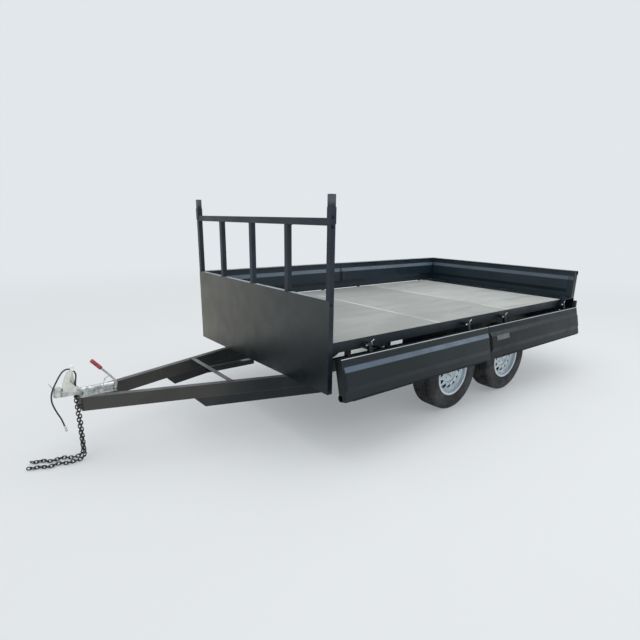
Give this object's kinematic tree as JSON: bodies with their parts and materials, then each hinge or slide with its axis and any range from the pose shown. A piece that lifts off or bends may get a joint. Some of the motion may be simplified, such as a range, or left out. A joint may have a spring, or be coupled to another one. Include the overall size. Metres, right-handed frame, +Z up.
{
  "type": "tandem flatbed trailer with drop sides",
  "caption": "Black tandem-axle flatbed trailer with a grey steel deck, hinged drop sides and tailgate, a headboard with ladder rack, and an A-frame drawbar with a ball coupling.",
  "frame": {"origin": "centre of the tow ball in the coupling head", "axes": "+X forward along the drawbar, +Y to the left side of the trailer, +Z up"},
  "size_m": [5.5734, 2.3141, 1.865],
  "materials": {
    "black_paint": "satin",
    "grey_plate": "satin",
    "cable_black": "matt",
    "zinc": "satin",
    "deck_steel": "satin",
    "red_grip": "matt",
    "white_plastic": "matt",
    "wheel_silver": "satin",
    "black_chain": "satin",
    "lamp_red": "gloss",
    "tyre_rubber": "matt"
  },
  "bodies": {
    "trailer": {"axle_front": "black_paint", "axle_rear": "black_paint", "breakaway_cable": "cable_black", "cable_clip": "zinc", "coupling_head": "zinc", "coupling_housing": "zinc", "coupling_lever": "zinc", "cross_members": "black_paint", "deck_front": "deck_steel", "deck_middle": "deck_steel", "deck_rear": "deck_steel", "drawbar_braces": "black_paint", "drawbar_crossbar": "black_paint", "drawbar_left": "black_paint", "drawbar_nose": "black_paint", "drawbar_right": "black_paint", "handbrake_grip": "red_grip", "handbrake_lever": "black_paint", "headboard_posts": "black_paint", "headboard_rails": "black_paint", "headboard_sheet": "black_paint", "ladder_rack": "black_paint", "leaf_springs": "black_paint", "lever_knob": "white_plastic", "main_rails": "black_paint", "rear_sill": "black_paint", "safety_chain_left": "black_chain", "safety_chain_right": "black_chain", "side_rail_left": "black_paint", "side_rail_right": "black_paint", "spring_hangers": "black_paint", "tail_lamps": "lamp_red"},
    "wheel_front_left": {"tyre_front_left": "tyre_rubber", "rim_front_left": "wheel_silver"},
    "wheel_front_right": {"tyre_front_right": "tyre_rubber", "rim_front_right": "wheel_silver"},
    "wheel_rear_left": {"tyre_rear_left": "tyre_rubber", "rim_rear_left": "wheel_silver"},
    "wheel_rear_right": {"tyre_rear_right": "tyre_rubber", "rim_rear_right": "wheel_silver"},
    "front_left_side": {"side_front_left": "black_paint"},
    "front_right_side": {"side_front_right": "black_paint"},
    "rear_left_side": {"side_rear_left": "black_paint", "blank_plate": "grey_plate"},
    "rear_right_side": {"side_rear_right": "black_paint"},
    "tailgate": {"tailgate": "black_paint"}
  },
  "joints": [
    {"name": "wheel_front_left_spin", "type": "hinge", "parent": "trailer", "child": "wheel_front_left", "pos_m": [-3.05, 0.932, -0.19], "axis": [0, 1, 0], "continuous": true},
    {"name": "wheel_front_right_spin", "type": "hinge", "parent": "trailer", "child": "wheel_front_right", "pos_m": [-3.05, -0.932, -0.19], "axis": [0, 1, 0], "continuous": true},
    {"name": "wheel_rear_left_spin", "type": "hinge", "parent": "trailer", "child": "wheel_rear_left", "pos_m": [-3.94, 0.932, -0.19], "axis": [0, 1, 0], "continuous": true},
    {"name": "wheel_rear_right_spin", "type": "hinge", "parent": "trailer", "child": "wheel_rear_right", "pos_m": [-3.94, -0.932, -0.19], "axis": [0, 1, 0], "continuous": true},
    {"name": "side_front_left_drop", "type": "hinge", "parent": "trailer", "child": "front_left_side", "pos_m": [-2.4, 1.068, 0.273], "axis": [1, 0, 0], "range_deg": [0, 167]},
    {"name": "side_front_right_drop", "type": "hinge", "parent": "trailer", "child": "front_right_side", "pos_m": [-2.4, -1.068, 0.273], "axis": [1, 0, 0], "range_deg": [0, 167]},
    {"name": "side_rear_left_drop", "type": "hinge", "parent": "trailer", "child": "rear_left_side", "pos_m": [-4.3, 1.068, 0.273], "axis": [1, 0, 0], "range_deg": [0, 167]},
    {"name": "side_rear_right_drop", "type": "hinge", "parent": "trailer", "child": "rear_right_side", "pos_m": [-4.3, -1.068, 0.273], "axis": [1, 0, 0], "range_deg": [0, 167]},
    {"name": "tailgate_drop", "type": "hinge", "parent": "trailer", "child": "tailgate", "pos_m": [-5.2965, 0, 0.273], "axis": [0, -1, 0], "range_deg": [0, 167]}
  ]
}
